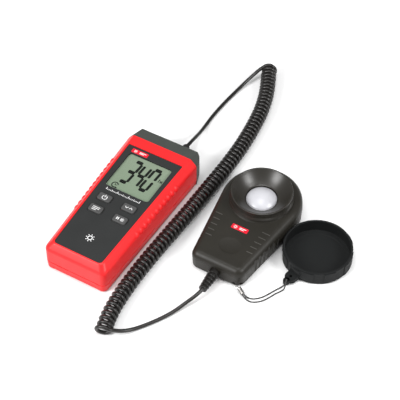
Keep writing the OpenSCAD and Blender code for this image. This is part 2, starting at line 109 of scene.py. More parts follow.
class Finish:                          # a material and the few moves that make one
    def __init__(self, name, **sockets):
        self.material = bpy.data.materials.new(name)
        self.material.use_nodes = True
        self.tree = self.material.node_tree
        self.tree.nodes.clear()
        self.shader = self.tree.nodes.new("ShaderNodeBsdfPrincipled")
        output = self.tree.nodes.new("ShaderNodeOutputMaterial")
        self.tree.links.new(self.shader.outputs[0], output.inputs[0])
        self.paint(**sockets)

    def feed(self, socket, value):
        if isinstance(value, Wire):
            self.tree.links.new(value.socket, socket)
        elif isinstance(value, tuple) and len(value) == 3 and socket.type == "RGBA":
            socket.default_value = (*value, 1)
        else:
            socket.default_value = value

    def node(self, kind, settings, sockets, take=0):
        made = self.tree.nodes.new(kind)
        for key, value in settings.items():
            if key == "stops":
                for stop, (place, shade) in zip(made.color_ramp.elements, value):
                    stop.position = place
                    stop.color = (shade, shade, shade, 1)
            else:
                setattr(made, key, value)
        for key, value in sockets.items():
            self.feed(made.inputs[key], value)
        return Wire(self, made.outputs[take])

    def paint(self, **sockets):        # baseColor=... sets the socket called Base Color
        for key, value in sockets.items():
            words = "".join(" " + c if c.isupper() else c for c in key).title()
            self.feed(self.shader.inputs[words.replace("Ior", "IOR")], value)

    def place(self, stretch=(1, 1, 1)):
        where = self.node("ShaderNodeTexCoord", {}, {}, "Object")
        return self.node("ShaderNodeMapping", {}, {"Vector": where, "Scale": stretch})

    def axis(self, name):              # a coordinate in millimetres
        where = self.node("ShaderNodeTexCoord", {}, {}, "Object")
        return self.node("ShaderNodeSeparateXYZ", {}, {0: where}, name) * 1000

    def noise(self, size, detail=3, rough=0.55, stretch=(1, 1, 1)):   # size of a blot in millimetres
        return self.node("ShaderNodeTexNoise", {}, {"Vector": self.place(stretch), "Scale": 1000 / size,
                                                    "Detail": detail, "Roughness": rough}, "Fac")

    def ramp(self, value, low, high, dark=0.0, light=1.0):
        return self.node("ShaderNodeValToRGB", {"stops": ((low, dark), (high, light))}, {0: value})

    def mix(self, share, first, second):
        return self.node("ShaderNodeMix", {"data_type": "RGBA"}, {0: share, 6: first, 7: second}, 2)

    def bump(self, height, depth):     # depth in millimetres
        self.paint(normal=self.node("ShaderNodeBump", {}, {"Strength": 1.0, "Distance": depth * mm,
                                                           "Height": height}))


plastics = {   # colour, worn colour, roughness and its spread, grain across and deep in mm, shine
    "redPlastic": ((0.74, 0.017, 0.019), (0.79, 0.021, 0.024), 0.36, 0.06, 0.35, 0.004, 0.24),
    "greyPlastic": ((0.044, 0.049, 0.044), (0.058, 0.063, 0.057), 0.5, 0.06, 0.4, 0.008, 0.28),
    "panelPlastic": ((0.022, 0.023, 0.023), (0.027, 0.028, 0.028), 0.62, 0.06, 0.25, 0.004, 0.15),
    "keyRubber": ((0.058, 0.058, 0.058), (0.07, 0.07, 0.07), 0.5, 0.06, 0.3, 0.006, 0.28),
    "headPlastic": ((0.0145, 0.013, 0.0098), (0.020, 0.018, 0.014), 0.42, 0.06, 0.35, 0.004, 0.28),
    "ringPlastic": ((0.018, 0.016, 0.013), (0.022, 0.020, 0.016), 0.33, 0.03, 0.3, 0.001, 0.5),
    # the grip lines: the head's plastic made lighter, as a painted highlight for the light that the raised
    # lines catch
    "highlightLinePlastic": ((0.055, 0.052, 0.047), (0.08, 0.076, 0.07), 0.35, 0.06, 0.3, 0.002, 0.28),
    "capPlastic": ((0.0085, 0.0092, 0.0095), (0.011, 0.012, 0.012), 0.6, 0.06, 0.4, 0.008, 0.15),
    "cordRubber": ((0.007, 0.006, 0.0055), (0.012, 0.0105, 0.009), 0.3, 0.06, 0.5, 0.005, 0.45),
    "silicone": ((0.35, 0.33, 0.32), (0.42, 0.40, 0.39), 0.6, 0.06, 0.6, 0.01, 0.28),
    "whitePlastic": ((0.80, 0.79, 0.74), (0.86, 0.85, 0.80), 0.45, 0.06, 0.5, 0.006, 0.28),
    "chipEpoxy": ((0.012, 0.012, 0.013), (0.02, 0.02, 0.021), 0.6, 0.06, 0.2, 0.01, 0.28),
    "whiteInk": ((0.78, 0.78, 0.78), (0.86, 0.86, 0.86), 0.55, 0.06, 0.2, 0.004, 0.28),
    "redInk": ((0.62, 0.006, 0.022), (0.68, 0.012, 0.03), 0.4, 0.06, 0.2, 0.003, 0.28),
    "blackInk": ((0.002, 0.0025, 0.002), (0.004, 0.005, 0.004), 0.6, 0.06, 0.2, 0.002, 0.1)}


def moulded(name):
    # moulded plastic, rubber or ink: cloudy colour, uneven sheen and a fine spark-eroded grain
    colour, worn, rough, spread, grain, depth, shine = plastics[name]
    finish = Finish(name, specularIorLevel=shine)
    cloud = finish.noise(22, 4)
    fleck = finish.noise(grain, 2, 0.6)
    finish.paint(baseColor=finish.mix(finish.ramp(cloud * 0.7 + fleck * 0.3, 0.35, 0.7), colour, worn),
                 roughness=finish.noise(5, 5) * spread * 2 + (rough - spread))
    finish.bump(fleck, depth)
    return finish.material


def windowPlastic():
    finish = Finish("windowPlastic", baseColor=(0.06, 0.07, 0.06), specularIorLevel=0.25)
    finish.paint(roughness=finish.noise(9, 5) * 0.08 + 0.05, alpha=finish.noise(14, 4) * 0.02 + 0.05)
    return finish.material


def displayGlass():
    finish = Finish("displayGlass", specularIorLevel=0.3)
    # painted shade: the display's colour runs darker towards the low end and lighter towards the cord end
    # along y, with a broad random variation on top
    shade = finish.ramp(finish.axis("Y") * 0.012 + finish.noise(60, 1) * 0.3, 0.0, 0.75)
    finish.paint(baseColor=finish.mix(shade, (0.19, 0.26, 0.175), (0.245, 0.30, 0.22)),
                 roughness=finish.noise(1.5, 2) * 0.1 + 0.35)
    return finish.material


def opalPlastic():
    finish = Finish("opalPlastic", subsurfaceWeight=0.25, subsurfaceRadius=(0.01, 0.01, 0.01),
                    subsurfaceScale=0.15, coatWeight=0.4, coatRoughness=0.16)
    finish.paint(baseColor=finish.mix(finish.noise(6, 4), (0.48, 0.48, 0.51), (0.53, 0.53, 0.56)),
                 roughness=finish.noise(3, 3) * 0.08 + 0.36)
    finish.bump(finish.noise(0.3, 2), 0.003)
    return finish.material


def filterGlass():
    finish = Finish("filterGlass", transmissionWeight=0.6)
    finish.paint(baseColor=finish.mix(finish.noise(5, 3), (0.18, 0.45, 0.36), (0.24, 0.52, 0.42)),
                 roughness=finish.noise(4, 3) * 0.06 + 0.05)
    return finish.material


def platedSteel():
    finish = Finish("platedSteel", metallic=1.0)
    brushed = finish.noise(0.6, 4, 0.6, (1, 1, 0.08))
    finish.paint(baseColor=finish.mix(finish.noise(2, 3), (0.42, 0.41, 0.40), (0.58, 0.57, 0.56)),
                 roughness=brushed * 0.16 + 0.16)
    finish.bump(brushed, 0.006)
    return finish.material


def crimpSteel():
    finish = Finish("crimpSteel", metallic=1.0)
    drawn = finish.noise(0.7, 3)
    finish.paint(baseColor=finish.mix(drawn, (0.17, 0.165, 0.16), (0.26, 0.25, 0.24)),
                 roughness=drawn * 0.1 + 0.24)
    finish.bump(drawn, 0.01)
    return finish.material


def goldCan():
    finish = Finish("goldCan", metallic=1.0)
    finish.paint(baseColor=finish.mix(finish.noise(2, 3), (0.72, 0.56, 0.25), (0.80, 0.66, 0.34)),
                 roughness=finish.noise(0.8, 3) * 0.12 + 0.2)
    return finish.material


def boardMask():
    # solder mask with copper tracks showing through it and pads in rows
    finish = Finish("boardMask", coatWeight=0.4)
    where = finish.place((1, 1, 0.001))
    tracks = finish.node("ShaderNodeTexBrick", {"offset": 0.37, "squash": 0.6, "squash_frequency": 3}, {
        "Vector": where, "Scale": 190.0, "Mortar Size": 0.035, "Color1": (0, 0, 0),
        "Color2": (0.15, 0.15, 0.15), "Mortar": (1, 1, 1)})
    finish.paint(baseColor=finish.mix(tracks, (0.012, 0.10, 0.04), (0.03, 0.22, 0.09)),
                 roughness=finish.noise(2, 3) * 0.1 + 0.3)
    finish.bump(tracks, 0.03)
    return finish.material


def cellJacket():
    # a steel-grey jacket with a dark band towards the raised end
    finish = Finish("cellJacket")
    band = (finish.axis("Y") > -28) * (finish.axis("Y") < -13)
    ends = (finish.axis("Y") > -12.3) + (finish.axis("Y") < -55.4)
    body = finish.mix(band, (0.50, 0.51, 0.53), (0.02, 0.022, 0.03))
    finish.paint(baseColor=finish.mix(ends, body, (0.62, 0.6, 0.56)), metallic=ends,
                 roughness=finish.noise(3, 3) * 0.1 + 0.24)
    return finish.material


def stringFabric():
    # braided string: two crossing sets of stripes give the plaits
    finish = Finish("stringFabric", sheenWeight=0.3)
    lay = [finish.node("ShaderNodeTexWave", {}, {"Vector": finish.place((1, side, side)), "Scale": 900.0})
           for side in (1, -1)]
    plait = lay[0] * lay[1]
    finish.paint(baseColor=finish.mix(plait, (0.012, 0.011, 0.010), (0.032, 0.030, 0.027)),
                 roughness=finish.noise(0.5, 2) * 0.15 + 0.6)
    finish.bump(plait, 0.08)
    return finish.material


red = moulded("redPlastic")
grey = moulded("greyPlastic")
panelGrey = moulded("panelPlastic")
keyGrey = moulded("keyRubber")
headBrown = moulded("headPlastic")
ringBrown = moulded("ringPlastic")
capBlack = moulded("capPlastic")
cordBlack = moulded("cordRubber")
white = moulded("whitePlastic")
inkWhite = moulded("whiteInk")
inkRed = moulded("redInk")
inkBlack = moulded("blackInk")
steel = platedSteel()
print("finishes made")


# modelling
def start(obj, *others):               # the active object, with nothing else selected
    bpy.ops.object.select_all(action="DESELECT")
    for one in (obj, *others):
        one.select_set(True)
    bpy.context.view_layer.objects.active = obj
    return obj


def settled(name):                     # names the new object and puts its place in its mesh
    obj = bpy.context.object
    obj.name = name
    obj.data.name = name
    bpy.ops.object.transform_apply(location=True, rotation=True, scale=True)
    return obj


def addBlock(name, low, high):
    bpy.ops.object.select_all(action="DESELECT")
    centre = [(a + b) / 2 * mm for a, b in zip(low, high)]
    bpy.ops.mesh.primitive_cube_add(size=1, location=centre,
                                    scale=[(b - a) * mm for a, b in zip(low, high)])
    return settled(name)


def addRod(name, radius, z0, z1, at=(0, 0), sides=64):
    bpy.ops.object.select_all(action="DESELECT")
    bpy.ops.mesh.primitive_cylinder_add(vertices=sides, radius=radius * mm, depth=(z1 - z0) * mm,
                                        location=spot(*at, (z0 + z1) / 2))
    return settled(name)


def addEgg(name, radii, at, lean=(0, 0, 0), rings=16):
    bpy.ops.object.select_all(action="DESELECT")
    bpy.ops.mesh.primitive_uv_sphere_add(segments=2 * rings, ring_count=rings, radius=mm,
                                         location=spot(*at), rotation=lean, scale=radii)
    return settled(name)


def move(dx=0, dy=0, dz=0):
    return lambda: bpy.ops.transform.translate(value=spot(dx, dy, dz))


def resize(x, y, z, about=(0, 0, 0)):
    return lambda: bpy.ops.transform.resize(value=(x, y, z), center_override=spot(*about))


def extrude(dx=0, dy=0, dz=0):
    return lambda: bpy.ops.mesh.extrude_region_move(TRANSFORM_OT_translate={"value": spot(dx, dy, dz)})


def bevel(width, steps=4, profile=0.5):
    return lambda: bpy.ops.mesh.bevel(offset=width * mm, segments=steps, profile=profile, affect="EDGES")


def cutAway(at, normal):               # cuts away what lies beyond a plane and closes the cut
    return lambda: bpy.ops.mesh.bisect(plane_co=spot(*at), plane_no=Vector(normal).normalized(),
                                       use_fill=True, clear_outer=True)


def middle(item):                      # the middle of a vertex, edge or face, in millimetres
    corners = [item] if isinstance(item, bmesh.types.BMVert) else item.verts
    return sum((corner.co for corner in corners), Vector()) / len(corners) / mm


def edgeLine(edge):
    return (edge.verts[1].co - edge.verts[0].co).normalized()


def upright(edge):
    return abs(edgeLine(edge).z) > 0.9


def shape(obj, kind, test, *steps):    # selects by place in edit mode, then takes the steps
    start(obj)
    bpy.ops.object.mode_set(mode="EDIT")
    bpy.ops.mesh.select_mode(type=kind)
    bpy.ops.mesh.select_all(action="DESELECT")
    mesh = bmesh.from_edit_mesh(obj.data)
    for item in {"VERT": mesh.verts, "EDGE": mesh.edges, "FACE": mesh.faces}[kind]:
        item.select = bool(test(item))
    mesh.select_flush_mode()
    bmesh.update_edit_mesh(obj.data)
    for step in steps:
        step()
    bpy.ops.object.mode_set(mode="OBJECT")
    return obj


def everything(item):
    return True


def faceOut():
    bpy.ops.mesh.normals_make_consistent(inside=False)


def joined(name, pieces):
    start(*pieces)
    bpy.ops.object.join()
    pieces[0].name = name
    return pieces[0]


def applied(obj, kind, **settings):    # adds a modifier and applies it
    start(obj)
    step = obj.modifiers.new(kind.lower(), kind)
    for key, value in settings.items():
        setattr(step, key, value)
    bpy.ops.object.modifier_apply(modifier=step.name)
    return obj


def combine(obj, tool, operation="DIFFERENCE"):
    applied(obj, "BOOLEAN", operation=operation, solver="EXACT", object=tool)
    bpy.data.objects.remove(tool)
    return obj


def soften(obj, width, steps=3, angle=35):
    return applied(obj, "BEVEL", width=width * mm, segments=steps, limit_method="ANGLE",
                   angle_limit=radians(angle))


def smooth(obj, angle=32):             # round faces run into each other, and flat faces stay flat
    start(obj)
    bpy.ops.object.shade_smooth_by_angle(angle=radians(angle))
    return applied(obj, "WEIGHTED_NORMAL", keep_sharp=True, weight=100)


def copied(obj, name, dx, dy):
    twin = obj.copy()
    twin.data = obj.data.copy()
    twin.name = name
    bpy.context.collection.objects.link(twin)
    return put(twin, (dx, dy, 0))


def turned(name, stations, sides=64):  # a lathe: radius and height of each ring, closed at both ends
    radius, height = stations[0]
    bpy.ops.object.select_all(action="DESELECT")
    bpy.ops.mesh.primitive_circle_add(vertices=sides, radius=radius * mm, fill_type="NGON",
                                      location=spot(0, 0, height))
    obj = settled(name)
    steps = []
    for wide, high in stations[1:]:
        steps += [extrude(dz=high - height), resize(wide / radius, wide / radius, 1)]
        radius, height = wide, high
    shape(obj, "FACE", everything, *steps)
    return shape(obj, "FACE", everything, faceOut)


def put(obj, at, lean=(0, 0, 0)):      # turns a piece about the origin, then carries it to its place
    obj.location = spot(*at)
    obj.rotation_euler = lean
    start(obj)
    bpy.ops.object.transform_apply(location=True, rotation=True, scale=True)
    return obj


def addTube(name, path, radius, sides=12, flat=1.0):   # a tube along points in millimetres
    curve = bpy.data.curves.new(name, "CURVE")
    curve.dimensions = "3D"
    curve.bevel_depth = radius * mm
    curve.bevel_resolution = sides // 4 - 1
    curve.use_fill_caps = True
    line = curve.splines.new("POLY")
    line.points.add(len(path) - 1)
    for point, place in zip(line.points, path):
        point.co = (*spot(*place), 1)
    obj = bpy.data.objects.new(name, curve)
    bpy.context.collection.objects.link(obj)
    start(obj)
    bpy.ops.object.convert(target="MESH")
    obj = bpy.context.object
    shape(obj, "VERT", everything, lambda: bpy.ops.mesh.remove_doubles(threshold=1e-6),
          resize(1, 1, flat, (0, 0, path[0][2])), faceOut)
    bpy.ops.object.shade_smooth_by_angle(angle=radians(50))
    return obj


def finished(obj, body, slot, material, *replaced):
    obj.data.materials.clear()
    obj.data.materials.append(material)
    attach(obj, body)
    if replaced:
        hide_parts(*replaced)
    return obj


def smoothPath(points, step):          # a rounded line through given points, a ring every step
    points = [Vector(point) for point in points]
    ends = [points[0] * 2 - points[1], *points, points[-1] * 2 - points[-2]]
    path = []
    for before, a, b, after in zip(ends, ends[1:], ends[2:], ends[3:]):
        count = max(1, round((b - a).length / step))
        for k in range(count):
            t = k / count
            path.append(0.5 * (2 * a + (b - before) * t + (2 * before - 5 * a + 4 * b - after) * t ** 2
                               + (3 * a - before - 3 * b + after) * t ** 3))
    return path + [points[-1]]


def pathLength(path):
    return sum((b - a).length for a, b in zip(path, path[1:]))


# the cord
cord = {"diameter": 2.8, "turnRadius": 4.6, "pitch": (3.5, 4.1), "rings": 18, "wideTurn": 1.0,
        "meterTail": [(9, 73, 12), (9, 79, 11.2), (8.2, 87, 8.4), (7, 96, 4.8), (5.8, 106, 2.2),
                      (5.2, 116, 1.4), (5.6, 128, 1.4), (6.6, 140, 1.4), (8, 150, 1.8), (10, 160, 3.2),
                      (12.6, 168, 5.6), (15.6, 174.6, 8.4), (18.4, 178.6, 10.2)],
        "coil": [(20.6, 181.4, 6), (22.6, 175.4, 6), (26, 168, 6), (30.2, 158, 6), (33.6, 148, 6),
                 (36.4, 137, 6), (38.4, 125, 6), (40.2, 109, 6), (41.2, 92, 6), (41.2, 74, 6), (40.6, 57, 6),
                 (40, 40, 6), (39.2, 22, 6), (38.2, 4, 6), (37, -16, 6), (36.2, -35, 6), (36.2, -52, 6),
                 (37, -69, 6), (39.4, -84, 6), (42.9, -94.8, 6)],
        "headTail": [(46.6, -92.6, 9.4), (49.6, -89.4, 6.4), (52.4, -86, 4), (55.8, -81.4, 2.2),
                     (59.6, -76.2, 1.5), (64.4, -69.2, 1.4), (69, -61.4, 1.4), (73, -53.6, 1.8),
                     (76.6, -45.4, 3.2), (80.2, -37.6, 5.2), (82.2, -31, 6.4)]}


def coilTurns():
    # the turns run round the coil's axis, starting and ending on top, and open up towards the lower end
    axis = smoothPath(cord["coil"], 0.25)
    inset = cord["diameter"] / 2
    lengths = [0]
    for a, b in zip(axis, axis[1:]):
        lengths.append(lengths[-1] + (b - a).length)
    first, last = inset, lengths[-1] - inset
    tight, loose = cord["pitch"]
    turns = round((last - first) / ((tight + loose) / 2))
    count = turns * cord["rings"]
    ease = (loose - tight) / (loose + tight)
    path, place = [], 0
    for k in range(count + 1):
        share = k / count
        along = first + (last - first) * (share + ease * (share * share - share))
        while place < len(axis) - 2 and lengths[place + 1] < along:
            place += 1
        part = (along - lengths[place]) / (lengths[place + 1] - lengths[place])
        centre = axis[place].lerp(axis[place + 1], part)
        side = up.cross(axis[min(place + 6, len(axis) - 1)] - axis[max(place - 5, 0)]).normalized()
        angle = 2 * pi * k / cord["rings"]
        widen = cord["wideTurn"] * max(0, 1 - (count - k) / cord["rings"])
        reach = cord["turnRadius"] + widen
        path.append(centre + side * sin(angle) * reach + up * cos(angle) * cord["turnRadius"])
    return path


def makeCord():
    turns = coilTurns()
    path = smoothPath([*cord["meterTail"], turns[0]], 1.5)[:-1] + turns
    path += smoothPath([turns[-1], *cord["headTail"]], 1.5)[1:]
    tube = addTube("curlyCord", path, cord["diameter"] / 2)
    tube.data.materials.clear()
    tube.data.materials.append(cordBlack)
    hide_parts("cord_tail_meter", "cord_coil", "cord_tail_head")
    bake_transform(tube)
    pathLength(path) * mm
    print("cord:", round(pathLength(path)), "mm")


lanyard = {"diameter": 1.0,
           "route": [(106.4, -17.4, 1.8), (109.4, -18, 0.8), (112.6, -17.6, 0.6), (115.2, -16.2, 0.6),
                     (117.8, -13.6, 0.6), (119.8, -10.6, 0.6), (121.6, -7, 0.6), (123.4, -3.2, 0.6),
                     (125.4, 0.6, 0.6), (126.8, 3.8, 0.7), (127.2, 5.6, 1.8), (127.3, 5.9, 4.2),
                     (127.6, 4.8, 5.8), (128.1, 2.9, 5.6), (128.5, 1.6, 3.6), (128.3, 0.2, 1.4),
                     (127, -2.2, 0.6), (125, -5.6, 0.6), (123.2, -9.6, 0.6), (121.2, -13.6, 0.6),
                     (118.8, -16.8, 0.6), (116, -19, 0.6), (113, -20.2, 0.6), (109.8, -19.8, 0.7),
                     (106.4, -18.5, 1.4)],
           "crimp": ((101.6, -15.2, 3.2), (106.4, -17.9, 1.6)), "crimpRadius": 1.5,
           "loop": (98.76, -13.49, 3.2), "loopRadius": 2.2, "wire": 0.27}


def makeLanyard():
    path = smoothPath(lanyard["route"], 0.6)
    string = addTube("lanyardString", path, lanyard["diameter"] / 2, 8)
    finished(string, "dust_cap", "string_fabric", stringFabric(), "lanyard_string")
    a, b = (Vector(end) for end in lanyard["crimp"])
    r, length = lanyard["crimpRadius"], (b - a).length
    crimp = turned("crimpTube", [(r * 0.5, 0), (r * 0.9, 0.1), (r, 0.4), (r, length * 0.36),
                                 (r * 0.92, length * 0.42), (r * 0.92, length * 0.56), (r, length * 0.62),
                                 (r, length - 0.4), (r * 0.9, length - 0.1), (r * 0.5, length)], 32)
    smooth(put(crimp, a, (b - a).to_track_quat("Z", "Y").to_euler()), 40)
    finished(crimp, "dust_cap", "plated_steel", crimpSteel(), "crimp_tube")
    path[0] * mm
    pathLength(path) * mm
    [place * mm for place in path]
    centre, wire = Vector(lanyard["loop"]), lanyard["wire"]
    rounds = 1.9
    coil = [centre + lanyard["loopRadius"] * Vector((cos(t), sin(t), 0)) + up * wire * (t / pi - rounds)
            for t in (2 * pi * rounds * k / 76 for k in range(77))]
    ring = addTube("lanyardRing", coil, wire, 12)
    finished(ring, "sensor_head", "plated_steel", steel, "lanyard_ring")
    print("string:", round(pathLength(path)), "mm")


makeCord()
makeLanyard()


# readout housing
frontLow, frontHigh = nodeBox("front_shell")
readout = {"low": frontLow.y, "cord": frontHigh.y, "halfLow": 24.5, "halfCord": frontHigh.x,
           "split": frontLow.z, "top": frontHigh.z, "corner": 4, "bevelIn": 4.4, "bevelDown": 4.8,
           "wall": 2, "web": 21.9, "hollow": (0.87, 0.97), "seam": 0.15, "shoulderEdge": 1.69, "topEdge": 1.04}
rear = {"draft": (0.985, 0.997), "foot": 1.5, "floor": 2.6, "wall": 2.3, "gap": 0.6, "gapDeep": 0.7,
        "posts": [(x, y) for x in (-19.4, 19.4) for y in (-4.4, 46)]}
door = {"half": 17.5, "thick": 1.7, "end": -13, "tongue": 1.2, "lip": 0.8, "play": 0.15, "bayHalf": 16.8,
        "bayLow": -60.8, "bayHigh": -10.8, "bayFloor": 2.4, "bayTop": 14.2, "ribs": 5, "ribPitch": 2.2}
endCap = {"narrow": 3.4, "drop": 2.9, "lean": 1.6, "corner": 2, "edge": 0.9, "foot": 1.2, "wall": 2.2,
          "exit": (9, 12), "exitRadius": 3}
grip = {"count": 11, "first": 27.6, "pitch": -4.95, "radii": (1.8, 2.7, 3.0), "out": 0.26, "lean": 21}
face = {"low": -59, "cord": 44.4, "top": 24.6, "thick": 1.5, "sideLow": 5.4, "sideCord": 5.9}
window = {"middle": (0.3, 20.5), "wide": 35.4, "long": 34.6, "round": 2.2,
          "glass": (37.9, 36.7)}
key = {"x": 9.9, "rows": (-8.2, -19.8), "wide": 10.2, "long": 6.2, "round": 1.3, "gap": 0.25,
       "top": 25.9, "foot": 18.6, "rim": 20.8}


def halfAt(y):
    share = (y - readout["low"]) / (readout["cord"] - readout["low"])
    return readout["halfLow"] + (readout["halfCord"] - readout["halfLow"]) * share


def taperedBlock(name, z0, z1, inset, y1, corner):
    # a block with the housing's taper and round lower corners
    y0 = readout["low"] + inset
    half = halfAt(y0) - inset
    block = addBlock(name, (-half, y0, z0), (half, y1, z1))
    shape(block, "VERT", lambda v: middle(v).y > y0 + 1, resize((halfAt(y1) - inset) / half, 1, 1))
    return shape(block, "EDGE", lambda e: upright(e) and middle(e).y < 0, bevel(corner, 8))


def bevelledTop(block, z, inset, down):
    # the top draws in all round but at the cord end
    y0, y1 = readout["low"], readout["cord"]
    share = 1 - inset / ((readout["halfLow"] + readout["halfCord"]) / 2)
    return shape(block, "FACE", lambda f: middle(f).z > z - down - 0.1 and f.normal.z > 0.9,
                 extrude(dz=down), resize(share, 1 - inset / (y1 - y0), 1, (0, y1, 0)))


def loopAt(z, y1):                     # level edges at a height, but not those of the end at y1
    return lambda e: abs(middle(e).z - z) < 0.05 and abs(edgeLine(e).z) < 0.1 and middle(e).y < y1 - 0.1


def panelTool(name, z0, z1, inset):
    low, high = face["low"] + inset, face["cord"] - inset
    half = halfAt(low) - face["sideLow"] - inset
    block = addBlock(name, (-half, low, z0), (half, high, z1))
    cordHalf = halfAt(high) - face["sideCord"] - inset
    shape(block, "VERT", lambda v: middle(v).y > 0, resize(cordHalf / half, 1, 1))
    shape(block, "EDGE", lambda e: upright(e) and middle(e).y < 0, bevel(2.6, 6))
    return shape(block, "EDGE", lambda e: upright(e) and middle(e).y > 30, bevel(0.8, 4))


def roundedBlock(name, middleAt, wide, long, corner, z0, z1):
    x, y = middleAt
    block = addBlock(name, (x - wide / 2, y - long / 2, z0), (x + wide / 2, y + long / 2, z1))
    return shape(block, "EDGE", upright, bevel(corner, 5))


def keyPlaces():
    return [(x, y) for x in (-key["x"], key["x"]) for y in key["rows"]]


def keyHoles(z0, z1, extra):
    gap = 2 * key["gap"] + extra
    wide, long, corner = key["wide"] + gap, key["long"] + gap, key["round"] + gap / 2
    return [roundedBlock("hole", place, wide, long, corner, z0, z1) for place in keyPlaces()]


def makeFrontShell():
    cordEnd, top, web = readout["cord"], readout["top"], readout["web"]
    shoulder = top - readout["bevelDown"]
    shell = taperedBlock("frontShell", readout["split"], shoulder, 0, cordEnd, readout["corner"])
    bevelledTop(shell, top, readout["bevelIn"], readout["bevelDown"])
    shape(shell, "EDGE", loopAt(shoulder, cordEnd), bevel(readout["shoulderEdge"], 4))
    shape(shell, "EDGE", loopAt(top, cordEnd), bevel(readout["topEdge"], 4))
    soften(shell, readout["seam"], 2, 50)
    lean = radians(grip["lean"])
    back = grip["radii"][0] - grip["out"]
    for k in range(grip["count"]):     # a row of low humps along each shoulder
        y = grip["first"] + grip["pitch"] * k
        for side in (-1, 1):
            at = (side * (halfAt(y) - back * cos(lean)), y, shoulder - back * sin(lean))
            combine(shell, addEgg("hump", grip["radii"], at, (0, side * -lean, 0)), "UNION")
    cavity = taperedBlock("cavity", readout["split"] - 1, shoulder - 1, readout["wall"], cordEnd + 1, 3)
    shape(cavity, "FACE", lambda f: f.normal.z > 0.9, extrude(dz=web - shoulder + 1),
          resize(*readout["hollow"], 1, (0, cordEnd, 0)))
    combine(shell, cavity)
    combine(shell, panelTool("panelTool", face["top"] - face["thick"], top + 1, 0))
    glassHole = roundedBlock("hole", window["middle"], *window["glass"], 1.2, web - 1, top)
    for hole in (*keyHoles(web - 1, top, 0), glassHole):
        combine(shell, hole)
    smooth(shell)
    return finished(shell, "readout", "red_plastic", red, "front_shell")


def addPosts(shell, places, radius, top, headRadius, headTop, bore):
    # screw posts, each with room for a screw's head from below
    for place in places:
        combine(shell, addRod("post", radius, 2, top, place, 32), "UNION")
        combine(shell, addRod("bore", headRadius, -1, headTop, place, 32))
        combine(shell, addRod("bore", bore, -1, top + 2, place, 32))


def makeRearShell():
    split, cordEnd, play = readout["split"], readout["cord"], door["play"]
    shell = taperedBlock("rearShell", 0, split - rear["gap"], 0, cordEnd, readout["corner"])
    shape(shell, "FACE", lambda f: f.normal.z > 0.9,
          lambda: bpy.ops.mesh.inset(thickness=rear["gapDeep"] * mm),
          extrude(dz=rear["gap"] - 0.01))   # a narrow gap shows along the seam
    shape(shell, "VERT", lambda v: middle(v).z < 1, resize(*rear["draft"], 1, (0, cordEnd, 0)))
    shape(shell, "EDGE", loopAt(0, cordEnd), bevel(rear["foot"], 4))
    soften(shell, readout["seam"], 2, 50)
    combine(shell, taperedBlock("cavity", rear["floor"], split + 1, rear["wall"], cordEnd + 1, 3))
    bay, low, high = door["bayHalf"], door["bayLow"], door["bayHigh"]
    combine(shell, addBlock("walls", (-bay - 1, low - 1, 2), (bay + 1, high + 1, door["bayTop"] + 1)), "UNION")
    combine(shell, addBlock("bay", (-bay, low, door["bayFloor"]), (bay, high, door["bayTop"])))
    combine(shell, addBlock("mouth", (-bay, low, -1), (bay, door["end"] - 2, 3)))
    for half, z0, z1 in ((door["half"], -1, 0.8), (door["half"] + door["tongue"], 0.7, 1.85)):
        combine(shell, addBlock("slot", (-half - play, readout["low"] - 1, z0),
                                (half + play, door["end"] + play, z1)))
    addPosts(shell, rear["posts"], 3, 7.6, 2.3, 1.8, 1.25)
    smooth(shell)
    return finished(shell, "readout", "red_plastic", red, "rear_shell")


def makeBatteryDoor():
    low, high, thick = readout["low"] + 1.1, door["end"], door["thick"]
    leaf = addBlock("batteryDoor", (-door["half"], low, 0), (door["half"], high, thick))
    shape(leaf, "EDGE", upright, bevel(0.8, 3))
    wide = door["half"] + door["tongue"]
    combine(leaf, addBlock("tongue", (-wide, low, thick - door["lip"]), (wide, high, thick + 0.001)), "UNION")
    soften(leaf, 0.15, 2, 50)
    for k in range(door["ribs"]):      # finger grip, narrowing to an arrow
        combine(leaf, roundedBlock("grip", (0, -22 - door["ribPitch"] * k), 16 - 2.6 * k, 1.1, 0.5, -1, 0.55))
    smooth(leaf)
    return finished(leaf, "battery_door", "red_plastic", red, "battery_door")


def makeEndCap():
    low, high = nodeBox("end_cap")
    half, top = readout["halfCord"], readout["top"]
    cap = addBlock("endCap", (-half, low.y, 0), (half, high.y, top))
    shape(cap, "VERT", lambda v: middle(v).y > high.y - 1, resize((half - endCap["narrow"]) / half, 1, 1))
    shoulder = top - readout["bevelDown"]
    for side in (-1, 1):
        shape(cap, "FACE", everything, cutAway(
            (side * half, low.y, shoulder - 0.4),
            (side * (readout["bevelDown"] + 0.4), endCap["lean"], readout["bevelIn"])))
    shape(cap, "FACE", everything, cutAway((0, low.y, top), (0, endCap["drop"], high.y - low.y)))
    shape(cap, "EDGE", lambda e: upright(e) and middle(e).y > low.y + 2, bevel(endCap["corner"], 5))
    shape(cap, "EDGE", lambda e: middle(e).z > 12 and middle(e).y > low.y + 0.3, bevel(endCap["edge"], 4))
    shape(cap, "EDGE", lambda e: middle(e).z < 0.1 and middle(e).y > low.y + 0.3, bevel(endCap["foot"], 4))
    soften(cap, 0.2, 2, 50)
    wall = endCap["wall"]
    combine(cap, addBlock("hollow", (-22, low.y - 1, 2.4), (22, high.y - wall, shoulder - wall)))
    x, z = endCap["exit"]
    combine(cap, put(addRod("exit", endCap["exitRadius"], -3, 3, sides=48), (x, high.y, z), (pi / 2, 0, 0)))
    smooth(cap)
    return finished(cap, "readout", "grey_plastic", grey, "end_cap")


def makePanel():
    top, thick = face["top"], face["thick"]
    plate = panelTool("facePanel", top - thick, top, 0.1)
    opening = roundedBlock("opening", window["middle"], window["wide"], window["long"], window["round"],
                           top - 3, top + 1)
    for hole in (opening, *keyHoles(top - 3, top + 1, 0.1)):
        combine(plate, hole)
    soften(plate, 0.14, 2, 50)
    smooth(plate)
    return finished(plate, "readout", "panel_plastic", panelGrey, "front_panel")


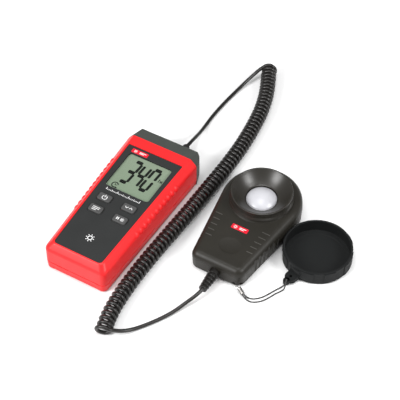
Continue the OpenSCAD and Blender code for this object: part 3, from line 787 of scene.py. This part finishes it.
def makeWindow():
    lens = roundedBlock("displayWindow", window["middle"], window["wide"] - 0.2, window["long"] - 0.2,
                        window["round"], face["top"] - 1.2, face["top"] - 0.1)
    smooth(soften(lens, 0.12, 2, 50))
    return finished(lens, "readout", "clear_window", windowPlastic(), "display_window")


makeFrontShell()
makeRearShell()
makeBatteryDoor()
makeEndCap()
makePanel()
makeWindow()
print("readout housing made")


# display, print and keys
digits = {"first": -7.3, "y": 22.8, "pitch": 7.85, "halfTall": 10.5, "halfWide": 2.6, "lean": 0.06,
          "level": 23.13, "deep": 0.08, "bold": 1.5, "thin": 0.98, "shown": ("acdgb", "bcfg", "abcdef")}


def addBar(a, b, halfThick, level, deep):   # a flat bar with pointed ends between two places
    a, b = Vector((*a, level)), Vector((*b, level))
    length = (b - a).length
    bar = addBlock("bar", (-length / 2, -halfThick, -deep / 2), (length / 2, halfThick, deep / 2))
    point = min(halfThick, length * 0.2)
    shape(bar, "EDGE", upright, bevel(point * 0.75, 3, 0.4))
    return put(bar, (a + b) / 2, (0, 0, atan2(b.y - a.y, b.x - a.x)))


def makeDigits():
    tall, wide = digits["halfTall"], digits["halfWide"]
    ends = {"a": ((-1, 1), (1, 1)), "g": ((-1, 0), (1, 0)), "d": ((-1, -1), (1, -1)), "b": ((1, 1), (1, 0)),
            "c": ((1, 0), (1, -1)), "f": ((-1, 1), (-1, 0)), "e": ((-1, 0), (-1, -1))}
    bars = []
    for place, shown in enumerate(digits["shown"]):
        for name in shown:
            across = name in "agd"
            corners = []
            for (x, y), (otherX, otherY) in (ends[name], ends[name][::-1]):
                trim = 0.04 if across else 0.1
                x, y = x + (otherX - x) * trim / 2, y + (otherY - y) * trim
                left = digits["first"] + digits["pitch"] * place
                corners.append((left + x * wide + y * tall * digits["lean"], digits["y"] + y * tall))
            thick = digits["bold"] if across else digits["thin"]
            bars.append(addBar(*corners, thick, digits["level"] + digits["deep"] / 2, digits["deep"]))
    return finished(joined("displayDigits", bars), "readout", "lcd", inkBlack)


def addStroke(points, width, level):   # a printed line, flattened to a skin
    return addTube("stroke", [(x, y, level) for x, y in points], width / 2, 8, 0.06 / width)


def arc(x, y, radius, first, last, count=20):
    return [(x + radius * cos(radians(first + (last - first) * k / count)),
             y + radius * sin(radians(first + (last - first) * k / count))) for k in range(count + 1)]


def makeDisplayMarks():
    x, y, level = -11.3, 7.1, digits["level"] + 0.03
    strokes = [addStroke(arc(x, y, 2.3, 20, 320), 0.75, level),
               addStroke([(x, y + 1.2), (x, y), (x + 1.4, y)], 0.65, level),
               addStroke([(x + 1.4, y - 2.5), (x + 2.7, y - 2)], 0.7, level)]
    x, y = 15, 25.3                    # the unit of light, lx
    strokes += [addStroke([(x - 1.1, y - 1.4), (x - 1, y + 1.7)], 0.65, level),
                addStroke([(x, y - 1.4), (x + 1.7, y + 0.8)], 0.65, level),
                addStroke([(x, y + 0.8), (x + 1.7, y - 1.4)], 0.65, level)]
    return finished(joined("displayMarks", strokes), "readout", "lcd", inkBlack)


def sunMark(x, y, radius, width, level, rays=8):
    strokes = [addStroke(arc(x, y, radius * 0.5, 0, 360, 24), width, level)]
    for k in range(rays):
        a = 2 * pi * k / rays
        strokes.append(addStroke([(x + radius * r * cos(a), y + radius * r * sin(a)) for r in (0.72, 1)],
                                 width, level))
    return strokes


def makePanelPrint():
    level = face["top"]
    strokes = sunMark(0.4, -43.3, 3.2, 0.55, level)
    x0, x1, y = -13.8, 13.2, 0.4       # a fine scale under the display
    for k in range(25):
        x = x0 + (x1 - x0) * k / 24
        tall = 2.1 if k % 8 == 0 else 1.5 if k % 4 == 0 else 0.9
        strokes.append(addStroke([(x, y - 0.9), (x, y - 0.9 + tall)], 0.42, level))
    return finished(joined("panelPrint", strokes), "readout", "panel_plastic", inkWhite)


def makeBadge(name, middleAt, wide, long, level, body, lean=(0, 0, 0)):
    # a plain red label with a generic sun and two bars
    label = roundedBlock(name, (0, 0), wide, long, 0.6, -0.1, 0.12)
    smooth(soften(label, 0.05, 2, 50))
    put(label, (*middleAt, level), lean)
    finished(label, body, "red_plastic", inkRed)
    strokes = sunMark(-wide * 0.27, 0, long * 0.36, 0.34, 0.12)
    for y, reach in ((long * 0.14, 0.38), (-long * 0.14, 0.26)):
        strokes.append(addStroke([(-wide * 0.02, y), (wide * reach, y)], 0.5, 0.12))
    marks = joined(name + "Marks", strokes)
    put(marks, (*middleAt, level), lean)
    return finished(marks, body, "white_plastic", inkWhite)


def keyMarks(which, x, y, level):
    if which == "power":
        return [addStroke(arc(x, y - 0.2, 1.8, 125, 415), 0.46, level),
                addStroke([(x, y - 0.1), (x, y + 2.1)], 0.46, level)]
    if which == "mode":                # a list of choices
        return [addStroke([(x - 2.8, y + dy), (x + end, y + dy)], 0.42, level)
                for dy, end in ((1.2, 2.8), (-0.1, 2.8), (-1.4, 0.8))]
    if which == "range":               # up or down
        return [addStroke([(x + side * 1.7 - 1.2, y - side * 0.6), (x + side * 1.7, y + side * 0.8),
                           (x + side * 1.7 + 1.2, y - side * 0.6)], 0.46, level) for side in (-1, 1)]
    pause = [addStroke([(x + dx, y - 1.1), (x + dx, y + 1.1)], 0.6, level) for dx in (-2.5, -1.3)]
    return pause + sunMark(x + 1.7, y, 1.5, 0.34, level)


def makeKeys():
    pad = roundedBlock("key", (0, 0), key["wide"] + 2, key["long"] + 2, 1.6, key["rim"], key["rim"] + 1)
    stem = roundedBlock("stem", (0, 0), key["wide"], key["long"], key["round"], key["foot"], key["top"])
    shape(stem, "EDGE", loopAt(key["top"], 99), bevel(0.55, 4))
    shape(stem, "FACE", lambda f: f.normal.z > 0.99 and middle(f).z > key["top"] - 0.01,
          lambda: bpy.ops.mesh.inset(thickness=0.5 * mm), move(dz=-0.12))
    combine(pad, stem, "UNION")
    smooth(pad, 40)
    names = ("power", "mode", "range", "hold")
    for which, (x, y) in zip(names, keyPlaces()):
        cap = copied(pad, which + "Key", x, y)
        finished(cap, which + "_key", "key_rubber", keyGrey, "key_" + which)
        marks = joined(which + "KeyMarks", keyMarks(which, x, y, key["top"] - 0.12))
        finished(marks, which + "_key", "white_plastic", inkWhite)
    bpy.data.objects.remove(pad)


makeDigits()
makeDisplayMarks()
makePanelPrint()
makeBadge("panelBadge", (-10.9, 40.4), 13.2, 3.7, face["top"], "readout")
makeKeys()
print("display and keys made")


# sensor head
head = {"at": (82.5, 52, 0), "turn": radians(-0.3), "round": 29.3, "corner": 6, "cornerX": 14.8,
        "reach": 66, "split": 10.5, "roofLow": 16, "roofHigh": 20, "roof": 2.2, "seat": 22.9, "seatTop": 19.4,
        "bore": 20, "edge": 4.8, "foot": 2.2, "seam": 0.25, "topDraft": (0.985, 0.995),
        "lowDraft": (0.98, 0.993), "draftFrom": (0, -18, 0), "exit": 6.4, "ringHoles": (14.6, -63.4, 3.2),
        "posts": [(side * x, y) for side in (-1, 1) for x, y in ((13, -55), (19.5, 13))]}
thumb = {"radii": (10.7, 10.5, 1.3), "x": 1.4, "y": -44.4, "up": 0.95, "lean": 4.5}
scallop = {"rows": (-24.6, -29.5, -34.4, -39.3, -44.2, -49.1), "radius": 1.9, "out": 1.0}
gripLine = {"rows": (-27, -31.9, -36.8, -41.7, -46.6), "wide": 0.55, "proud": 0.3}
roofSlope = atan2(head["roofHigh"] - head["roofLow"], head["reach"] + head["round"])
wallRun, wallStep = head["reach"] - head["corner"], head["round"] - head["corner"]
wallLean = atan2(-wallRun, head["cornerX"]) + atan2(
    sqrt(wallRun ** 2 + head["cornerX"] ** 2 - wallStep ** 2), wallStep)


def roofAt(y):                         # height of the head's top, in the head's own frame
    return head["roofLow"] + (y + head["reach"]) * tan(roofSlope)


def wallX(y):                          # half width of the head at a place along it
    foot = Vector((head["cornerX"] + head["corner"] * cos(wallLean),
                   head["corner"] - head["reach"] + head["corner"] * sin(wallLean)))
    return foot.x - (y - foot.y) * tan(wallLean)


def headBlank(name, inset, z0, z1):
    rods = [addRod(name, head["round"] - inset, z0, z1, sides=96)]
    for side in (-1, 1):
        rods.append(addRod("corner", head["corner"] - inset, z0, z1,
                           (side * head["cornerX"], head["corner"] - head["reach"]), 48))
    blank = joined(name, rods)
    return shape(blank, "VERT", everything, lambda: bpy.ops.mesh.convex_hull(),
                 lambda: bpy.ops.mesh.dissolve_limited(angle_limit=radians(0.5)))


def roofSlice(down):
    return cutAway((0, -head["reach"], head["roofLow"] - down), (0, -sin(roofSlope), cos(roofSlope)))


def settle(obj):
    return put(obj, head["at"], (0, 0, head["turn"]))


def cutScallops(shell, z0, z1):        # a row of upright hollows down each side
    for y in scallop["rows"]:
        for side in (-1, 1):
            combine(shell, addRod("scallop", scallop["radius"], z0, z1,
                                  (side * (wallX(y) + scallop["out"]), y), 24))


def makeHeadTop():
    split, seat, seatTop = head["split"], head["seat"], head["seatTop"]
    shell = headBlank("headTopShell", 0, split, 24)
    shape(shell, "FACE", everything, roofSlice(0))
    shape(shell, "VERT", lambda v: middle(v).z > split + 1, resize(*head["topDraft"], 1, head["draftFrom"]))
    shape(shell, "EDGE",
          lambda e: abs(middle(e).z - roofAt(middle(e).y)) < 0.3 and abs(edgeLine(e).z) < 0.2,
          bevel(head["edge"], 9))
    shape(shell, "EDGE", lambda e: abs(middle(e).z - split) < 0.05, bevel(head["seam"], 2))
    cutScallops(shell, split - 1, 14)
    x, y = thumb["x"], thumb["y"]
    combine(shell, addEgg("thumb", thumb["radii"], (x, y, roofAt(y) + thumb["up"]),
                          (roofSlope + radians(thumb["lean"]), 0, 0), 48))
    ring = turned("seat", [(seat + 0.9, 14), (seat + 0.9, 17.6), (seat + 0.4, 18.2), (seat, 18.8),
                           (seat, seatTop - 0.2), (seat - 0.2, seatTop)], 96)
    combine(shell, ring, "UNION")
    cavity = headBlank("cavity", 2.4, split - 1, 22)
    shape(cavity, "FACE", everything, roofSlice(head["roof"]))
    combine(shell, cavity)
    combine(shell, addRod("bore", head["bore"], 5, 30, sides=96))
    smooth(shell, 28)
    settle(shell)
    return finished(shell, "sensor_head", "head_plastic", headBrown, "head_top_shell")


def makeHeadBottom():
    top = head["split"] - 0.01
    shell = headBlank("headBottomShell", 0, 0, top)
    shape(shell, "VERT", lambda v: middle(v).z < 1, resize(*head["lowDraft"], 1, head["draftFrom"]))
    shape(shell, "EDGE", lambda e: abs(middle(e).z) < 0.05, bevel(head["foot"], 6))
    shape(shell, "EDGE", lambda e: abs(middle(e).z - top) < 0.05, bevel(head["seam"], 2))
    cutScallops(shell, -1, top + 1)
    combine(shell, headBlank("cavity", 4.6, 2.2, 12))
    addPosts(shell, head["posts"], 2.8, 9, 2.2, 1.6, 1.2)
    combine(shell, put(addRod("exit", 3.4, -9, 9, sides=40), (0, -head["reach"], head["exit"]),
                       (pi / 2, 0, 0)))
    for length, lean in ((8, (pi / 2, 0, 0)), (9, (0, pi / 2, 0))):   # the lanyard ring's holes meet inside
        combine(shell, put(addRod("hole", 1.1, 0, length, sides=24), head["ringHoles"], lean))
    smooth(shell, 28)
    settle(shell)
    return finished(shell, "sensor_head", "head_plastic", headBrown, "head_bottom_shell")


def makeGripLines():                   # raised lines on both sides of the head's top, in a lighter copy of the head's plastic: a painted highlight for the light that the moulded lines catch
    lines = []
    for k, y in enumerate(gripLine["rows"]):
        for side, x0, x1 in ((-1, 16.4 - 0.6 * k, 21.8 - 0.75 * k), (1, 15.2 - 0.4 * k, 21.2 - 0.7 * k)):
            line = roundedBlock("line", (side * (x0 + x1) / 2, y), x1 - x0, gripLine["wide"], 0.25,
                                -0.6, gripLine["proud"])
            lines.append(put(soften(line, 0.14, 2, 50), (0, 0, roofAt(y))))
    lines = smooth(joined("gripLines", lines))
    settle(lines)
    return finished(lines, "sensor_head", "head_plastic", moulded("highlightLinePlastic"))


collar = {"radius": 22.1, "rim": 26, "recess": 17.8, "hole": 11.5, "hollow": 0.5}
dome = {"wide": 10.6, "sag": 4.3, "down": 0.2}
relief = {"ribs": 5, "root": 4.1, "tip": 3.0, "long": 17, "first": 3.4}


def makeCollar():
    r, rim, floor = collar["radius"], collar["rim"], collar["recess"]
    seat, hole = head["seat"], collar["hole"]
    cup = [(19.8, 14.4), (19.8, 19.4), (seat, 19.4), (seat, 19.8), (seat - 0.3, 20.6), (r + 0.15, 21.5),
           (r, 22.2), (r, rim - 0.6), (r - 0.18, rim - 0.18), (r - 0.6, rim), (r - 1.0, rim),
           (r - 1.3, rim - 0.2), (r - 1.6, rim - 0.7)]
    for k in range(1, 9):              # the bowl, a little hollow
        share = k / 8
        cup.append((r - 1.6 + (hole + 1.1 - r + 1.6) * share,
                    rim - 0.7 + (floor + 0.5 - rim + 0.7) * share - collar["hollow"] * sin(pi * share)))
    cup += [(hole + 0.5, floor + 0.1), (hole, floor), (hole, 15.7), (9.2, 15.7)]
    ring = turned("sensorCollar", cup, 128)
    combine(ring, addRod("bore", 9.2, 13, 17, (0, 0), 64))
    smooth(ring, 35)
    settle(ring)
    return finished(ring, "sensor_head", "head_plastic", ringBrown, "sensor_ring")


def makeDome():
    wide, sag, foot = dome["wide"], dome["sag"], collar["recess"] - dome["down"]
    radius = (wide ** 2 + sag ** 2) / (2 * sag)
    stations = [(wide + 0.3, foot - 1.8), (wide + 0.3, foot - 0.6), (wide, foot - 0.5)]
    half = atan2(wide, radius - sag)
    for k in range(17):
        a = half * (1 - k / 17)
        stations.append((radius * sin(a), foot + radius * cos(a) - radius + sag))
    diffuser = settle(smooth(turned("diffuserDome", stations, 96), 50))
    return finished(diffuser, "sensor_head", "opal", opalPlastic(), "diffuser_dome")


def makeStrainRelief():                # a plain root, then ribs that shrink towards the tip
    root, tip, long, first = relief["root"], relief["tip"], relief["long"], relief["first"]
    pitch = (long - first) / relief["ribs"]
    stations = [(root - 0.8, -1.2), (root - 0.8, 0), (root - 0.15, 0), (root, 0.2), (root, first - 0.2),
                (root - 0.2, first)]
    for k in range(relief["ribs"]):
        r = root - (root - tip) * (k + 1) / relief["ribs"]
        z = first + pitch * k
        stations += [(r - 0.75, z + 0.15), (r - 0.75, z + pitch * 0.32), (r - 0.15, z + pitch * 0.4),
                     (r, z + pitch * 0.5), (r, z + pitch * 0.88), (r - 0.15, z + pitch * 0.98)]
    stations += [(tip - 0.35, long), (1.45, long), (1.45, long - 0.4)]
    boot = smooth(turned("strainRelief", stations, 48), 40)
    settle(put(boot, (0, -head["reach"], head["exit"]), (pi / 2, 0, 0)))
    return finished(boot, "sensor_head", "cord_rubber", cordBlack, "strain_relief")


def makeGrommet():
    x, z = endCap["exit"]
    stations = [(4.2, -4.4), (4.2, -2.3), (2.9, -2.3), (2.9, 0.1), (3.7, 0.1), (3.9, 0.3), (3.9, 2.0),
                (3.7, 2.3), (3.2, 2.9), (3.2, 3.4), (2.9, 3.6), (2.9, 4.2), (3.1, 4.4), (3.05, 5.6),
                (2.75, 5.8), (2.75, 6.4), (2.9, 6.6), (2.6, 8.4), (2.3, 9), (1.45, 9), (1.45, 8.6)]
    grommet = put(turned("cordGrommet", stations, 40), (x, nodeBox("end_cap")[1].y, z), (-pi / 2, 0, 0))
    return finished(smooth(grommet, 40), "readout", "cord_rubber", cordBlack, "cord_grommet")


dustCap = {"at": (134.9, 37.6, 0), "radius": 24.3, "inner": 22.8, "tall": nodeBox("dust_cap")[1].z,
           "floor": 1.8, "grip": 0.4, "wide": 35, "narrow": 20, "lug": radians(-103.5), "lugHalf": 4.2,
           "holes": (28.2, 32.8), "hole": 1.1, "tip": 2.3, "lugLow": 1.6, "lugTop": 4.8}


def onGrip(f):
    place = middle(f)
    turn = degrees(atan2(place.y, place.x)) % 90
    out = abs(f.normal.z) < 0.3 and place.xy.length > dustCap["radius"] - 0.5
    onWide = turn > 90 - 16 or turn < dustCap["wide"] - 16
    onNarrow = 37 < turn < 37 + dustCap["narrow"]
    return out and 1.2 < place.z < dustCap["tall"] - 0.9 and (onWide or onNarrow)


def makeDustCap():
    r, inner, tall, floor = dustCap["radius"], dustCap["inner"], dustCap["tall"], dustCap["floor"]
    cap = turned("dustCap", [(r - 1.0, 0), (r - 0.3, 0.25), (r, 0.9), (r, 1.2), (r, tall - 0.8),
                             (r, tall - 0.4), (r - 0.3, tall), (inner + 0.2, tall), (inner, tall - 0.25),
                             (inner, floor + 0.6), (inner - 0.2, floor + 0.15), (inner - 0.6, floor),
                             (19.6, floor), (19.4, floor - 0.25), (6, floor - 0.3)], 144)
    shape(cap, "FACE", onGrip, lambda: bpy.ops.mesh.extrude_region_shrink_fatten(
        TRANSFORM_OT_shrink_fatten={"value": dustCap["grip"] * mm}))
    low, high = dustCap["lugLow"], dustCap["lugTop"]
    near, far = dustCap["holes"]
    half = dustCap["lugHalf"]
    lug = addBlock("lug", (inner + 0.6, -half, low), (near, half, high))
    for radius, place in ((half, near), (dustCap["tip"], far)):
        combine(lug, addRod("eye", radius, low, high, (place, 0), 40), "UNION")
    for place in (near, far):
        combine(lug, addRod("hole", dustCap["hole"], 0, 8, (place, 0), 32))
    soften(lug, 0.35, 3, 50)
    put(lug, (0, 0, 0), (0, 0, dustCap["lug"]))
    combine(cap, lug, "UNION")
    smooth(cap, 32)
    put(cap, dustCap["at"])
    return finished(cap, "dust_cap", "cap_plastic", capBlack, "dust_cap")


makeHeadTop()
makeHeadBottom()
makeGripLines()
makeCollar()
makeDome()
makeStrainRelief()
makeGrommet()
makeDustCap()
makeBadge("headBadge", (82.5, 20.2), 12.6, 3.9, roofAt(-31.8) - 0.02, "sensor_head", (roofSlope, 0, 0))
print("sensor head and cap made")


# inner pieces
def makeSprings():
    low, high = nodeBox("contact_springs")
    turns, wire = 5, 0.3
    for k in range(3):
        x = (k - 1) * 10.9
        path = []
        for step in range(turns * 16 + 1):
            share = step / (turns * 16)
            r = 3.2 - 1.2 * share
            angle = 2 * pi * turns * share
            path.append((x + r * cos(angle), low.y + wire + (high.y - low.y - 2 * wire) * share,
                         (low.z + high.z) / 2 + r * sin(angle)))
        spring = addTube(f"contactSpring{k + 1}", path, wire, 8)
        finished(spring, "readout", "plated_steel", steel, *(["contact_springs"] if k == 0 else []))


def dress(material, *names):           # a CAD piece whose shape is right keeps it and gets a finish
    for name in names:
        nodes[name].data.materials.clear()
        nodes[name].data.materials.append(material)


makeSprings()
dress(displayGlass(), "lcd_glass")
dress(white, "lcd_backlight", "lead_connector")
dress(moulded("silicone"), "zebra_strips", "keypad_mat")
dress(boardMask(), "main_board", "sensor_board")
dress(moulded("chipEpoxy"), "board_chips", "piezo_buzzer")
dress(cellJacket(), "battery_cells")
dress(steel, "contact_plates", "housing_screws", "board_screws", "sensor_board_screws", "head_screws")
dress(cordBlack, "inner_lead", "sensor_lead")
dress(filterGlass(), "correction_filter")
dress(goldCan(), "photodiode")
print("inner pieces dressed")


# studio
studio = {"floor": (0.9, 0.9, 0.9), "drop": -0.1, "room": 0.36, "aim": (60, 40, 0),
          "lights": {"key": ((-360, -640, 600), 420, 8.6), "fill": ((820, 80, 640), 340, 6.2),
                     "top": ((90, -40, 900), 460, 3.6)}}


def addStudio():
    bpy.ops.object.select_all(action="DESELECT")
    bpy.ops.mesh.primitive_plane_add(size=6, location=spot(50, 50, studio["drop"]))
    floor = settled("studioFloor")
    paper = Finish("studioPaper", baseColor=studio["floor"], roughness=0.9)
    floor.data.materials.append(paper.material)
    world = bpy.data.worlds.new("room")
    bpy.context.scene.world = world
    world.use_nodes = True
    world.node_tree.nodes["Background"].inputs["Color"].default_value = (1, 1, 1, 1)
    world.node_tree.nodes["Background"].inputs["Strength"].default_value = studio["room"]
    for name, (place, size, power) in studio["lights"].items():
        bpy.ops.object.light_add(type="AREA", location=spot(*place))
        lamp = bpy.context.object
        lamp.name = name
        lamp.data.size = size * mm
        lamp.data.energy = power
        lamp.rotation_euler = (spot(*studio["aim"]) - lamp.location).to_track_quat("-Z", "Y").to_euler()
    bpy.context.scene.view_settings.view_transform = "Standard"


addStudio()
